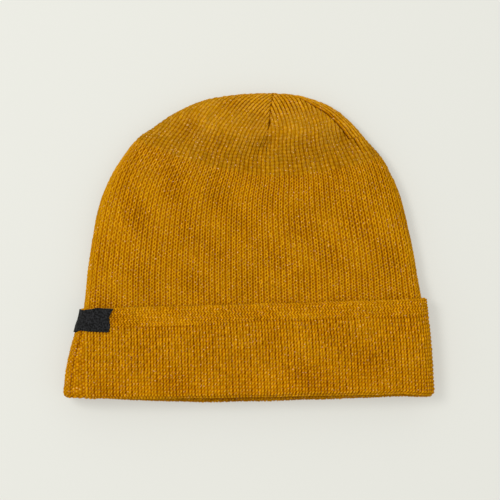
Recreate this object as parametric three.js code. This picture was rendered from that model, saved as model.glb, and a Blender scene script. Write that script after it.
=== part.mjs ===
// A knitted watch cap lying flat with its cuff turned up, in millimetres.
// X runs across the cap, Y from the hem to the crown, Z up from the surface
// that it lies on. The origin is under the middle of the cap's box.

import * as THREE from "three";

// Fabric
const WALL = 2.9;
const CUFF_LENGTH = 54;

// How far out of the body's outer face the cuff's two faces lie. The lower
// layer of the body lies on the cuff's lower layer, so it is lifted as much.
const CUFF_INNER = 0.6;
const CUFF_OUTER = CUFF_INNER + WALL;
const LIFT = CUFF_OUTER;

// Sideways and upward shape of the body's outer face, one row for each course
// of stitches that is named. "at" counts along the front from the hem fold.
// The left and right points are where the course turns round the side folds,
// frontY and backY are the middles of the upper and the lower layer, lift is
// how far the lower layer is off the surface, curl how much its edges rise,
// fold the outer radius of the side fold and top the height in the middle.
const COURSES = [
  { at: 0, leftX: -114.6, leftY: -91.5, rightX: 114.4, rightY: -91, frontY: -93, backY: -95.3,
    lift: LIFT, curl: 3, fold: 5.8, top: 20.4 },
  { at: 14, leftX: -113, leftY: -77.8, rightX: 113.6, rightY: -76.8, frontY: -79, backY: -81,
    lift: LIFT, curl: 3.1, fold: 5.8, top: 20.5 },
  { at: 30, leftX: -109.4, leftY: -62.4, rightX: 112.4, rightY: -60.2, frontY: -62.8, backY: -64.6,
    lift: LIFT, curl: 3.2, fold: 5.8, top: 20.6 },
  { at: 44, leftX: -105.9, leftY: -49.6, rightX: 110.9, rightY: -45.4, frontY: -48.3, backY: -50,
    lift: LIFT, curl: 3.2, fold: 5.8, top: 20.6 },
  { at: 57, leftX: -104.7, leftY: -37.6, rightX: 109.2, rightY: -31.2, frontY: -34.6, backY: -36,
    lift: LIFT, curl: 3.2, fold: 5.8, top: 20.6 },
  { at: 77, leftX: -102.6, leftY: -16.6, rightX: 106.2, rightY: -13.4, frontY: -15.2, backY: -16,
    lift: 0, curl: 3.2, fold: 5.8, top: 22 },
  { at: 95.5, leftX: -99.4, leftY: 7, rightX: 102.5, rightY: 7, frontY: 2.5, backY: 2.5,
    lift: 0, curl: 3.2, fold: 5.8, top: 22.4 },
  { at: 112, leftX: -94.3, leftY: 29.9, rightX: 97.1, rightY: 29.9, frontY: 19.1, backY: 19.1,
    lift: 0, curl: 3, fold: 5.8, top: 22.6 },
  { at: 125.5, leftX: -85.6, leftY: 49, rightX: 91.5, rightY: 43.9, frontY: 32.5, backY: 32.5,
    lift: 0, curl: 2.6, fold: 5.6, top: 23 },
  { at: 139, leftX: -72, leftY: 68.2, rightX: 84.7, rightY: 56.7, frontY: 45.9, backY: 45.9,
    lift: 0, curl: 2.2, fold: 5.4, top: 23.2 },
  { at: 151.7, leftX: -61.4, leftY: 75.9, rightX: 74.7, rightY: 68.4, frontY: 58.6, backY: 58.6,
    lift: 0, curl: 1.8, fold: 5.2, top: 23.4 },
  { at: 162.5, leftX: -47.1, leftY: 85.6, rightX: 64.3, rightY: 79.9, frontY: 69.4, backY: 69.4,
    lift: 0, curl: 1.5, fold: 5, top: 23.6 },
  { at: 173.4, leftX: -28.2, leftY: 93.7, rightX: 51.6, rightY: 89.8, frontY: 80.3, backY: 80.3,
    lift: 0, curl: 1.3, fold: 4.9, top: 23.6 },
  { at: 183, leftX: -8.6, leftY: 97.1, rightX: 35.7, rightY: 95.6, frontY: 89.8, backY: 89.8,
    lift: 0, curl: 1.2, fold: 4.8, top: 23.4 },
  { at: 189, leftX: 3.2, leftY: 98, rightX: 26.1, rightY: 97.3, frontY: 95.2, backY: 95.2,
    lift: 0, curl: 1.2, fold: 4.8, top: 23.2 },
  { at: 193, leftX: 15.3, leftY: 98.2, rightX: 15.3, rightY: 98.2, frontY: 98.2, backY: 98.2,
    lift: 0, curl: 1.2, fold: 4.8, top: 23 },
];
const TIP_AT = 193;

// How far in from the edge the lower layer stays curled and the upper layer
// still rises.
const CURL_REACH = 36;
const DOME_REACH = 42;

// Soft swells and hollows of the upper layer: a line from one point to the
// other, how wide it spreads and how high it stands. They fade out towards
// the outline.
const RELIEF_FADE = 20;
const FOLDS = [
  { name: "crown ridge", fromX: -22, fromY: 74, toX: 52, toY: 70, spread: 8.5, height: 3.2 },
  { name: "valley below the crown", fromX: -4, fromY: 50, toX: 46, toY: 51, spread: 7, height: -2 },
  { name: "dimple on the dart", fromX: 11, fromY: 61, toX: 12, toY: 65, spread: 3.4, height: -1.3 },
  { name: "crease on the right", fromX: 41, fromY: 88, toX: 64, toY: 61, spread: 3, height: -2.2 },
  { name: "left trough", fromX: -57, fromY: 56, toX: -59, toY: -28, spread: 7, height: -1.3 },
  { name: "left swell", fromX: -73, fromY: 44, toX: -74, toY: -28, spread: 6, height: 0.9 },
  { name: "right swell", fromX: 78, fromY: 36, toX: 84, toY: -20, spread: 9, height: 0.9 },
];

// Woven label round the left fold of the cuff
const LABEL_GAP = 0.35;
const LABEL_THICKNESS = 0.8;
const LABEL_BOTTOM_AT = 38.4;
const LABEL_TOP_AT = 54.8;
const LABEL_FRONT_TURN_TOP = 0.585;
const LABEL_FRONT_TURN_BOTTOM = 0.58;
const LABEL_BACK_TURN = -0.42;

// Facets
const TURNS = 64;
const TURN_EVENNESS = 0.17;
const LABEL_COLUMNS = 18;
const LABEL_ROWS = 4;

const MUSTARD = 0xb07309;
const LABEL_BLACK = 0x262626;


// Smooth curve through one column of the course table

// Catmull-Rom slopes, held back so that the curve never swings past a row.
function slopeAt(index, column) {
  const here = COURSES[index];
  const before = COURSES[Math.max(index - 1, 0)];
  const after = COURSES[Math.min(index + 1, COURSES.length - 1)];
  const mean = (after[column] - before[column]) / (after.at - before.at);
  if (before === here || after === here) {
    return mean;
  }
  const slopeBefore = (here[column] - before[column]) / (here.at - before.at);
  const slopeAfter = (after[column] - here[column]) / (after.at - here.at);
  if (slopeBefore * slopeAfter <= 0) {
    return 0;
  }
  const steepest = 3 * Math.min(Math.abs(slopeBefore), Math.abs(slopeAfter));
  return Math.sign(mean) * Math.min(Math.abs(mean), steepest);
}

function courseValue(column, at) {
  let index = 0;
  while (index < COURSES.length - 2 && at > COURSES[index + 1].at) {
    index += 1;
  }
  const start = COURSES[index];
  const end = COURSES[index + 1];
  const span = end.at - start.at;
  const t = (at - start.at) / span;
  const startSlope = slopeAt(index, column) * span;
  const endSlope = slopeAt(index + 1, column) * span;
  const rise = end[column] - start[column];
  const bend = 3 * rise - 2 * startSlope - endSlope;
  const twist = startSlope + endSlope - 2 * rise;
  return start[column] + t * (startSlope + t * (bend + t * twist));
}

function courseAt(at) {
  const course = {};
  for (const column of Object.keys(COURSES[0])) {
    course[column] = courseValue(column, at);
  }
  return course;
}


// Distance in from the outline, seen from above

const OUTLINE_STEP = 2;
// The outline runs on past the hem, because the hem isn't a folded edge.
const PAST_HEM = 40;

function pastHem(end, before) {
  const stretch = PAST_HEM / Math.hypot(end[0] - before[0], end[1] - before[1]);
  return [end[0] + stretch * (end[0] - before[0]), end[1] + stretch * (end[1] - before[1])];
}

function outlinePoints() {
  const left = [];
  const right = [];
  for (let at = 0; at < TIP_AT; at += OUTLINE_STEP) {
    const course = courseAt(at);
    left.push([course.leftX, course.leftY]);
    right.push([course.rightX, course.rightY]);
  }
  const tip = courseAt(TIP_AT);
  const leftEnd = pastHem(left[0], left[1]);
  const rightEnd = pastHem(right[0], right[1]);
  return [leftEnd, ...left, [tip.leftX, tip.leftY], ...right.reverse(), rightEnd];
}

const OUTLINE = outlinePoints();

function distanceToLine(x, y, fromX, fromY, toX, toY) {
  const alongX = toX - fromX;
  const alongY = toY - fromY;
  const lengthSquared = alongX * alongX + alongY * alongY;
  const share = ((x - fromX) * alongX + (y - fromY) * alongY) / lengthSquared;
  const held = Math.min(Math.max(share, 0), 1);
  return Math.hypot(x - fromX - held * alongX, y - fromY - held * alongY);
}

function distanceFromEdge(x, y) {
  let nearest = Infinity;
  for (let index = 1; index < OUTLINE.length; index += 1) {
    const [fromX, fromY] = OUTLINE[index - 1];
    const [toX, toY] = OUTLINE[index];
    nearest = Math.min(nearest, distanceToLine(x, y, fromX, fromY, toX, toY));
  }
  return nearest;
}


// The body's outer face. "turn" goes once round a course: 0 is the left side
// fold, a quarter turn the middle of the upper layer, half the right fold.

function foldRelief(x, y) {
  let relief = 0;
  for (const fold of FOLDS) {
    const away = distanceToLine(x, y, fold.fromX, fold.fromY, fold.toX, fold.toY);
    relief += fold.height * Math.exp(-0.5 * (away / fold.spread) ** 2);
  }
  return relief;
}

function bodyPoint(at, turn) {
  const course = courseAt(at);
  const across = -Math.cos(turn);
  const upper = Math.sin(turn) >= 0;
  const share = (across + 1) / 2;
  const middleY = upper ? course.frontY : course.backY;
  const sag = middleY - (course.leftY + course.rightY) / 2;
  const x = course.leftX + share * (course.rightX - course.leftX);
  const endsY = course.leftY + share * (course.rightY - course.leftY);
  const y = endsY + sag * Math.cos(across * Math.PI / 2);

  const inward = distanceFromEdge(x, y);
  const fromFoldAxis = Math.max(1 - inward / course.fold, 0);
  const arc = course.fold * Math.sqrt(Math.max(1 - fromFoldAxis ** 2, 0));
  if (!upper) {
    const curled = course.curl * Math.max(1 - inward / CURL_REACH, 0) ** 2;
    return new THREE.Vector3(x, y, course.lift + curled + course.fold - arc);
  }
  const foldAxis = course.lift + course.curl + course.fold;
  const rise = course.top - foldAxis - course.fold;
  const dome = rise * (1 - Math.max(1 - inward / DOME_REACH, 0) ** 2);
  const relief = foldRelief(x, y) * Math.min(inward / RELIEF_FADE, 1);
  return new THREE.Vector3(x, y, foldAxis + arc + dome + relief);
}

const TURN_STEP = 0.002;
const AT_STEP = 0.05;

function bodyFrame(at, turn) {
  const clamped = Math.min(Math.max(at, AT_STEP), TIP_AT - AT_STEP);
  const point = bodyPoint(Math.max(at, 0), turn);
  const round = bodyPoint(clamped, turn + TURN_STEP).sub(bodyPoint(clamped, turn - TURN_STEP));
  const along = bodyPoint(clamped + AT_STEP, turn).sub(bodyPoint(clamped - AT_STEP, turn)).normalize();
  const normal = new THREE.Vector3().crossVectors(round, along).normalize();
  return { point, normal, along };
}

// A point of the fabric: "out" is measured outward from the body's outer face,
// and a negative "at" runs straight on past the hem.
function fabricPoint(at, out, turn) {
  const { point, normal, along } = bodyFrame(at, turn);
  const past = Math.min(at, 0);
  return point.addScaledVector(normal, out).addScaledVector(along, past);
}


// Closed meshes from grids of points

function closedGeometry(points, triangles) {
  const geometry = new THREE.BufferGeometry();
  const numbers = points.flatMap((point) => point.toArray());
  geometry.setAttribute("position", new THREE.Float32BufferAttribute(numbers, 3));
  geometry.setIndex(triangles);
  geometry.computeVertexNormals();
  return geometry;
}

function turnAngle(index) {
  const even = 2 * Math.PI * index / TURNS;
  return even + TURN_EVENNESS * Math.sin(2 * even);
}

function tipPoint(out) {
  const normal = new THREE.Vector3();
  for (let index = 0; index < TURNS; index += 1) {
    normal.add(bodyFrame(TIP_AT - 1, turnAngle(index)).normal);
  }
  return bodyPoint(TIP_AT, 0).addScaledVector(normal.normalize(), out);
}

function semicircle(centreAt, centreOut, radius, fromAngle, toAngle, steps) {
  const path = [];
  for (let step = 0; step <= steps; step += 1) {
    const angle = fromAngle + (toAngle - fromAngle) * step / steps;
    path.push({ at: centreAt + radius * Math.cos(angle), out: centreOut + radius * Math.sin(angle) });
  }
  return path;
}

// Courses that get a ring of points: more of them where the cap is more curved
const OUTER_COURSES = [191.6, 189.4, 186.4, 182.6, 178.2, 173.6, 169, 164.6, 160.4, 156.2, 152, 147.6,
  143, 138, 132, 125.5, 118, 109, 99, 88, 77, 71, 65, 58];
const INNER_COURSES = [190.6, 187, 181, 174, 167, 160, 153, 146, 138, 128, 116, 102, 88, 77, 71, 65, 58];
const COVERED_COURSES = [48, 30, 14];
const CUFF_COURSES = [44, 32, 20, 9];
// Where the cuff and the body part inside the hem fold
const CROTCH_AT = 0.8;
const RIM_STEPS = 4;
const HEM_STEPS = 6;

// The edge of the cut fabric, walked once: down the body's outer face, round
// the inside of the hem fold, up the cuff's inner face, over its top edge,
// down its outer face, round the hem and up the body's inner face.
function fabricPath() {
  const bodyDown = [...OUTER_COURSES, ...COVERED_COURSES, CROTCH_AT].map((at) => ({ at, out: 0 }));
  const cuffUp = [CROTCH_AT, ...COVERED_COURSES.slice().reverse()].map((at) => ({ at, out: CUFF_INNER }));
  const rimCentre = CUFF_INNER + WALL / 2;
  const rim = semicircle(CUFF_LENGTH, rimCentre, WALL / 2, -Math.PI / 2, Math.PI / 2, RIM_STEPS);
  const cuffDown = CUFF_COURSES.map((at) => ({ at, out: CUFF_OUTER }));
  const hemCentre = CUFF_INNER / 2;
  const hemRadius = CUFF_OUTER - hemCentre;
  const hem = semicircle(0, hemCentre, hemRadius, Math.PI / 2, 3 * Math.PI / 2, HEM_STEPS);
  const bodyUp = [...INNER_COURSES, ...COVERED_COURSES].reverse().map((at) => ({ at, out: -WALL }));
  return [...bodyDown, ...cuffUp, ...rim, ...cuffDown, ...hem, ...bodyUp];
}

function knitGeometry() {
  const path = fabricPath();
  const points = [];
  for (const { at, out } of path) {
    for (let index = 0; index < TURNS; index += 1) {
      points.push(fabricPoint(at, out, turnAngle(index)));
    }
  }
  const outerTip = points.push(tipPoint(0)) - 1;
  const innerTip = points.push(tipPoint(-WALL)) - 1;

  const triangles = [];
  const lastRing = (path.length - 1) * TURNS;
  for (let index = 0; index < TURNS; index += 1) {
    const next = (index + 1) % TURNS;
    triangles.push(outerTip, index, next);
    triangles.push(innerTip, lastRing + next, lastRing + index);
    for (let ring = 0; ring < lastRing; ring += TURNS) {
      const above = ring + TURNS;
      triangles.push(ring + index, above + index, above + next);
      triangles.push(ring + index, above + next, ring + next);
    }
  }
  return closedGeometry(points, triangles);
}

function labelGeometry() {
  const faces = [CUFF_OUTER + LABEL_GAP, CUFF_OUTER + LABEL_GAP + LABEL_THICKNESS];
  const points = [];
  for (const out of faces) {
    for (let row = 0; row <= LABEL_ROWS; row += 1) {
      const up = row / LABEL_ROWS;
      const at = LABEL_BOTTOM_AT + up * (LABEL_TOP_AT - LABEL_BOTTOM_AT);
      const front = LABEL_FRONT_TURN_BOTTOM + up * (LABEL_FRONT_TURN_TOP - LABEL_FRONT_TURN_BOTTOM);
      for (let column = 0; column <= LABEL_COLUMNS; column += 1) {
        const turn = LABEL_BACK_TURN + (front - LABEL_BACK_TURN) * column / LABEL_COLUMNS;
        points.push(fabricPoint(at, out, turn));
      }
    }
  }
  const width = LABEL_COLUMNS + 1;
  const layer = width * (LABEL_ROWS + 1);
  const triangles = [];
  const addQuad = (a, b, c, d) => triangles.push(a, b, c, a, c, d);
  for (let row = 0; row < LABEL_ROWS; row += 1) {
    for (let column = 0; column < LABEL_COLUMNS; column += 1) {
      const corner = row * width + column;
      addQuad(corner, corner + width, corner + width + 1, corner + 1);
      addQuad(layer + corner, layer + corner + 1, layer + corner + width + 1, layer + corner + width);
    }
  }
  for (let column = 0; column < LABEL_COLUMNS; column += 1) {
    const top = LABEL_ROWS * width + column;
    addQuad(column, column + 1, layer + column + 1, layer + column);
    addQuad(top + 1, top, layer + top, layer + top + 1);
  }
  for (let row = 0; row < LABEL_ROWS; row += 1) {
    const back = row * width;
    const front = back + LABEL_COLUMNS;
    addQuad(back + width, back, layer + back, layer + back + width);
    addQuad(front, front + width, layer + front + width, layer + front);
  }
  return closedGeometry(points, triangles);
}


// The cap

function namedMesh(name, geometry, color, roughness) {
  const material = new THREE.MeshStandardMaterial({ color, roughness, metalness: 0 });
  const mesh = new THREE.Mesh(geometry, material);
  mesh.name = name;
  return mesh;
}

const cap = new THREE.Group();
cap.add(namedMesh("knit_cap", knitGeometry(), MUSTARD, 0.95));
cap.add(namedMesh("side_label", labelGeometry(), LABEL_BLACK, 0.85));

export default cap;
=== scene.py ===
"""Looks of a ribbed knit watch cap lying flat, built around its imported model.

Lengths are in millimetres until a mesh is made. X runs across the cap, Y from the hem to the crown and Z
up from the surface that it lies on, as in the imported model.
"""

import math

import bpy
import numpy as np
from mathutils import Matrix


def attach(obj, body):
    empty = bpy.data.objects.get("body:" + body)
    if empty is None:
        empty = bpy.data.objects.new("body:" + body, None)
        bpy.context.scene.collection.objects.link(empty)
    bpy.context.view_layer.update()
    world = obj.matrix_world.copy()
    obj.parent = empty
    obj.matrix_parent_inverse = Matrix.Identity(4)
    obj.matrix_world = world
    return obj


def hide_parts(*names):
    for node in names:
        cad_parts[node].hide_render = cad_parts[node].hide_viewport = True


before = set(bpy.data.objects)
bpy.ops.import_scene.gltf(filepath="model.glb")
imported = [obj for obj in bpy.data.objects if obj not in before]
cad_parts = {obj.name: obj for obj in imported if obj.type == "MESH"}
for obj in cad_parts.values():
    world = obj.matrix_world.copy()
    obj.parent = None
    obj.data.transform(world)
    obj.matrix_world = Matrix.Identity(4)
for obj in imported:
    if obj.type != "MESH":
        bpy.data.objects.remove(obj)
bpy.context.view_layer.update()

MM = 0.001

# Fabric
WALL = 2.9
CUFF_LENGTH = 54.0

# How far out of the body's outer face the cuff's two faces lie. The lower layer of the body lies on the
# cuff's lower layer, so it is lifted as much.
CUFF_INNER = 0.6
CUFF_OUTER = CUFF_INNER + WALL
LIFT = CUFF_OUTER

# Shape of the body's outer face, one row for each named course of stitches. "at" counts along the front
# from the hem fold. The left and right points are where the course turns round the side folds, front_y
# and back_y are the middles of the upper and the lower layer, lift is how far the lower layer is off the
# surface, curl how much its edges rise, fold the outer radius of the side fold and top the height in the
# middle.
COLUMNS = ("left_x", "left_y", "right_x", "right_y", "front_y", "back_y", "lift", "curl", "fold", "top")
COURSES = np.array([
    (0, -114.6, -91.5, 114.4, -91, -93, -95.3, LIFT, 3, 5.8, 20.4),
    (14, -113, -77.8, 113.6, -76.8, -79, -81, LIFT, 3.1, 5.8, 20.5),
    (30, -109.4, -62.4, 112.4, -60.2, -62.8, -64.6, LIFT, 3.2, 5.8, 20.6),
    (44, -105.9, -49.6, 110.9, -45.4, -48.3, -50, LIFT, 3.2, 5.8, 20.6),
    (57, -104.7, -37.6, 109.2, -31.2, -34.6, -36, LIFT, 3.2, 5.8, 20.6),
    (77, -102.6, -16.6, 106.2, -13.4, -15.2, -16, 0, 3.2, 5.8, 22),
    (95.5, -99.4, 7, 102.5, 7, 2.5, 2.5, 0, 3.2, 5.8, 22.4),
    (112, -94.3, 29.9, 97.1, 29.9, 19.1, 19.1, 0, 3, 5.8, 22.6),
    (125.5, -85.6, 49, 91.5, 43.9, 32.5, 32.5, 0, 2.6, 5.6, 23),
    (139, -72, 68.2, 84.7, 56.7, 45.9, 45.9, 0, 2.2, 5.4, 23.2),
    (151.7, -61.4, 75.9, 74.7, 68.4, 58.6, 58.6, 0, 1.8, 5.2, 23.4),
    (162.5, -47.1, 85.6, 64.3, 79.9, 69.4, 69.4, 0, 1.5, 5, 23.6),
    (173.4, -28.2, 93.7, 51.6, 89.8, 80.3, 80.3, 0, 1.3, 4.9, 23.6),
    (183, -8.6, 97.1, 35.7, 95.6, 89.8, 89.8, 0, 1.2, 4.8, 23.4),
    (189, 3.2, 98, 26.1, 97.3, 95.2, 95.2, 0, 1.2, 4.8, 23.2),
    (193, 15.3, 98.2, 15.3, 98.2, 98.2, 98.2, 0, 1.2, 4.8, 23),
])
TIP_AT = 193.0

# How far in from the edge the lower layer stays curled and the upper layer still rises
CURL_REACH = 36.0
DOME_REACH = 42.0

# Soft swells and hollows of the upper layer: from one point to the other, spread and height. The first
# three, which are the ridge, the hollow under it and the dart's dimple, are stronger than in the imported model
# and lie up to 4 mm aside of its own. All of them fade out towards the outline.
RELIEF_FADE = 20.0
FOLDS = (
    ((-22, 75), (52, 74), 9, 4.3),
    ((-4, 50), (46, 48), 7.5, -3.2),
    ((9, 62), (13, 66), 3.6, -3.6),
    ((41, 88), (64, 61), 3, -2.2),
    ((-57, 56), (-59, -28), 7, -1.3),
    ((-73, 44), (-74, -28), 6, 0.9),
    ((78, 36), (84, -20), 9, 0.9),
)

# Courses whose ends are points of the outline: closer together towards the top, where they run along it.
# The outline runs on past the hem, because the hem isn't a folded edge. Distances to it are worked out from
# one point in eight first, and where they are short from all of them.
OUTLINE_AT = np.concatenate([np.arange(0, 170, 0.5), np.arange(170, 193, 0.125), [TIP_AT]])
PAST_HEM = 40.0
COARSE_OUTLINE = 8
NEAR_EDGE = 5.0


# The body's outer face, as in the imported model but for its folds

def course_slopes():
    """Catmull-Rom slopes of the course table, held back so that no curve swings past a row."""
    at = COURSES[:, 0]
    values = COURSES[:, 1:]
    steps = np.diff(values, axis=0) / np.diff(at)[:, None]
    before = steps[:-1]
    after = steps[1:]
    mean = (values[2:] - values[:-2]) / (at[2:] - at[:-2])[:, None]
    steepest = 3 * np.minimum(np.abs(before), np.abs(after))
    held = np.sign(mean) * np.minimum(np.abs(mean), steepest)
    inner = np.where(before * after <= 0, 0, held)
    return np.vstack([steps[:1], inner, steps[-1:]])


SLOPES = course_slopes()


def courses_at(at):
    """Each column of the course table at the given places, as a column of numbers."""
    row = np.clip(np.searchsorted(COURSES[:, 0], at, side="left") - 1, 0, len(COURSES) - 2)
    start = COURSES[row]
    end = COURSES[row + 1]
    span = end[:, :1] - start[:, :1]
    t = (at[:, None] - start[:, :1]) / span
    rise = end[:, 1:] - start[:, 1:]
    start_slope = SLOPES[row] * span
    end_slope = SLOPES[row + 1] * span
    bend = 3 * rise - 2 * start_slope - end_slope
    twist = start_slope + end_slope - 2 * rise
    values = start[:, 1:] + t * (start_slope + t * (bend + t * twist))
    return {name: values[:, [index]] for index, name in enumerate(COLUMNS)}


def past_hem(end, before):
    way = end - before
    return end + PAST_HEM * way / np.linalg.norm(way)


def outline_points():
    course = courses_at(OUTLINE_AT)
    left = np.hstack([course["left_x"], course["left_y"]])
    right = np.hstack([course["right_x"], course["right_y"]])[:-1]
    left_end = past_hem(left[0], left[1])
    right_end = past_hem(right[0], right[1])
    return np.vstack([left_end, left, right[::-1], right_end])


OUTLINE = outline_points()


def distance_to_line(x, y, start, end):
    way_x, way_y = end[0] - start[0], end[1] - start[1]
    share = ((x - start[0]) * way_x + (y - start[1]) * way_y) / (way_x**2 + way_y**2)
    share = np.clip(share, 0, 1)
    return np.hypot(x - start[0] - share * way_x, y - start[1] - share * way_y)


def distance_to_path(x, y, path):
    nearest = np.full(np.shape(x), np.inf)
    for start, end in zip(path[:-1], path[1:]):
        nearest = np.minimum(nearest, distance_to_line(x, y, start, end))
    return nearest


def distance_from_edge(x, y):
    """Distance in from the outline, worked out finely only where it is short."""
    distance = distance_to_path(x, y, OUTLINE[::COARSE_OUTLINE])
    near = distance < NEAR_EDGE
    distance[near] = distance_to_path(x[near], y[near], OUTLINE)
    return distance


def fold_relief(x, y):
    relief = np.zeros(np.shape(x))
    for start, end, spread, height in FOLDS:
        relief += height * np.exp(-0.5 * (distance_to_line(x, y, start, end) / spread) ** 2)
    return relief


def body_points(at, turn):
    """Grid of points, a row for each course and a column for each turn. A turn of 0 is the left side fold,
    a quarter turn the middle of the upper layer and a half turn the right fold."""
    course = courses_at(at)
    across = -np.cos(turn)[None, :]
    upper = (np.sin(turn) >= 0)[None, :]
    share = (across + 1) / 2
    sag = np.where(upper, course["front_y"], course["back_y"]) - (course["left_y"] + course["right_y"]) / 2
    x = course["left_x"] + share * (course["right_x"] - course["left_x"])
    ends_y = course["left_y"] + share * (course["right_y"] - course["left_y"])
    y = ends_y + sag * np.cos(across * np.pi / 2)

    inward = distance_from_edge(x, y)
    left_gap = distance_from_edge(course["left_x"], course["left_y"])
    right_gap = distance_from_edge(course["right_x"], course["right_y"])
    inward = np.maximum(inward - np.where(across < 0, left_gap, right_gap), 0)
    from_fold_axis = np.maximum(1 - inward / course["fold"], 0)
    arc = course["fold"] * np.sqrt(np.maximum(1 - from_fold_axis**2, 0))
    curled = course["curl"] * np.maximum(1 - inward / CURL_REACH, 0) ** 2
    lower_z = course["lift"] + curled + course["fold"] - arc

    fold_axis = course["lift"] + course["curl"] + course["fold"]
    rise = course["top"] - fold_axis - course["fold"]
    dome = rise * (1 - np.maximum(1 - inward / DOME_REACH, 0) ** 2)
    relief = fold_relief(x, y) * np.minimum(inward / RELIEF_FADE, 1)
    upper_z = fold_axis + arc + dome + relief
    return np.stack([x, y, np.where(upper, upper_z, lower_z)], axis=-1)


# Dense grid of the outer face, from which every knitted face is worked out

BASE_TURNS = 720
BASE_AT = np.concatenate([np.arange(0, 176, 1.0), np.arange(176, TIP_AT, 0.25), [TIP_AT]])


def step_up(values, start, end):
    t = np.clip((values - start) / (end - start), 0, 1)
    return t * t * (3 - 2 * t)


# No vector is taken to be shorter than this
SHORTEST = 1e-9


def unit(vectors):
    return vectors / np.maximum(np.linalg.norm(vectors, axis=-1, keepdims=True), SHORTEST)


def base_grids():
    turn = np.arange(BASE_TURNS) * 2 * np.pi / BASE_TURNS
    points = body_points(BASE_AT, turn)
    round_course = np.roll(points, -1, axis=1) - np.roll(points, 1, axis=1)
    along = unit(np.gradient(points, BASE_AT, axis=0))
    normals = unit(np.cross(round_course, along))
    # The last course is a single point, so its ways come from the courses before it
    normals[-1] = unit(normals[-3].mean(axis=0))
    along[-1] = along[-2]
    return points, normals, along


POINTS, NORMALS, ALONG = base_grids()


def sample(grid, at, turn):
    """Value of a base grid between its points."""
    row = np.interp(at, BASE_AT, np.arange(len(BASE_AT)))
    low = np.minimum(row.astype(int), len(BASE_AT) - 2)
    up = (row - low)[..., None]
    column = turn * BASE_TURNS / (2 * np.pi)
    floor = np.floor(column).astype(int)
    aside = (column - floor)[..., None]
    left = floor % BASE_TURNS
    right = (floor + 1) % BASE_TURNS
    lower = grid[low, left] * (1 - aside) + grid[low, right] * aside
    upper = grid[low + 1, left] * (1 - aside) + grid[low + 1, right] * aside
    return lower * (1 - up) + upper * up


# The last course has no length, so its shares are measured a little before it
LAST_RING_AT = TIP_AT - 0.2


def ring(at, out):
    """How far round one course each turn is, 0 to 1 over the upper layer and 1 to 2 over the lower one, and
    the length of each half."""
    turns = np.linspace(0, 2 * np.pi, BASE_TURNS + 1)
    place = np.full(turns.shape, min(max(at, 0), LAST_RING_AT))
    points = sample(POINTS, place, turns) + out * sample(NORMALS, place, turns)
    length = np.append(0, np.cumsum(np.linalg.norm(np.diff(points, axis=0), axis=1)))
    front = length[BASE_TURNS // 2]
    back = length[-1] - front
    reached = np.where(length <= front, length / front, 1 + (length - front) / back)
    return turns, reached, front, back


# Ribs and rows of stitches

# Ribs round the cap and across its upper layer, the height of a row on the body and on the cuff, and where
# the body's panels start, hidden behind the cuff
RIBS = 124
FRONT_RIBS = RIBS // 2
BODY_ROW = 2.2
CUFF_ROW = 2.36
PANEL_START_AT = 51.0

# Steps of the mesh for each row and each rib
ROW_STEPS = 5
FRONT_RIB_STEPS = 10
BACK_RIB_STEPS = 5

# The cuff and the inside show the fabric's other face, whose ribs stand half a rib aside
OTHER_FACE = 0.5

# Seeds of everything that is uneven
BODY_SEED = 11
CUFF_SEED = 23
INSIDE_SEED = 31

# Width of a rib. Those right of the front dart are a little wider.
PITCH_AT = (100, 112, 125, 139, 148, 155, 165, 175, 193)
PITCH = (3.31, 3.2, 3.09, 2.83, 2.64, 2.5, 2.42, 2.3, 2.23)
RIGHT_PITCH = 1.06

# The crown is shaped by a dart in front and one at the back: a rib that reaches one ends there. The number
# of ribs that have ended grows with the square of the distance from where it starts. The share says how far
# across the upper layer the front dart lies.
DART_SHARE_AT = (100, 153, 173, 190)
DART_SHARE = (0.534, 0.531, 0.519, 0.5)
DART_RIB = 34
BACK_DART_RIB = 93
LEFT_RIBS_LOST = (148, 0.0047)
RIGHT_RIBS_LOST = (160, 0.005)
BACK_RIBS_LOST = (150, 0.0045)

# A tuck on the right of the crown: the ribs outside it run along the edge and those inside it end at it
TUCK_RIB = 56
TUCK_OPENS_AT = (143, 157)
TUCK_CLOSES_AT = (180, 192)
TUCK_AT = (154, 166, 175, 186, 193)
TUCK_FROM_EDGE = (14.2, 12.2, 10, 4, 0)

# A table's corners are rounded off by the mean of its values this far before and after each place
CORNER_SHIFTS = (-6, -3, 0, 3, 6)

# A panel without ribs keeps this small part of one, and no course is taken to be shorter than this
NARROWEST = 1e-6
SHORTEST_COURSE = 1.0


def smooth_table(at, places, values):
    """Value of a short table at each place, with its corners rounded off."""
    return np.mean([np.interp(at + shift, places, values) for shift in CORNER_SHIFTS], axis=0)


def lost(at, start, growth):
    return growth * np.maximum(at - start, 0) ** 2


class Panel:
    """Ribs and the part of each course that one panel takes, for each row."""

    def __init__(self, low, high, share_low, share_high):
        self.low = low
        self.high = np.maximum(high, low + NARROWEST)
        self.share_low = share_low
        self.share_high = share_high


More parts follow.
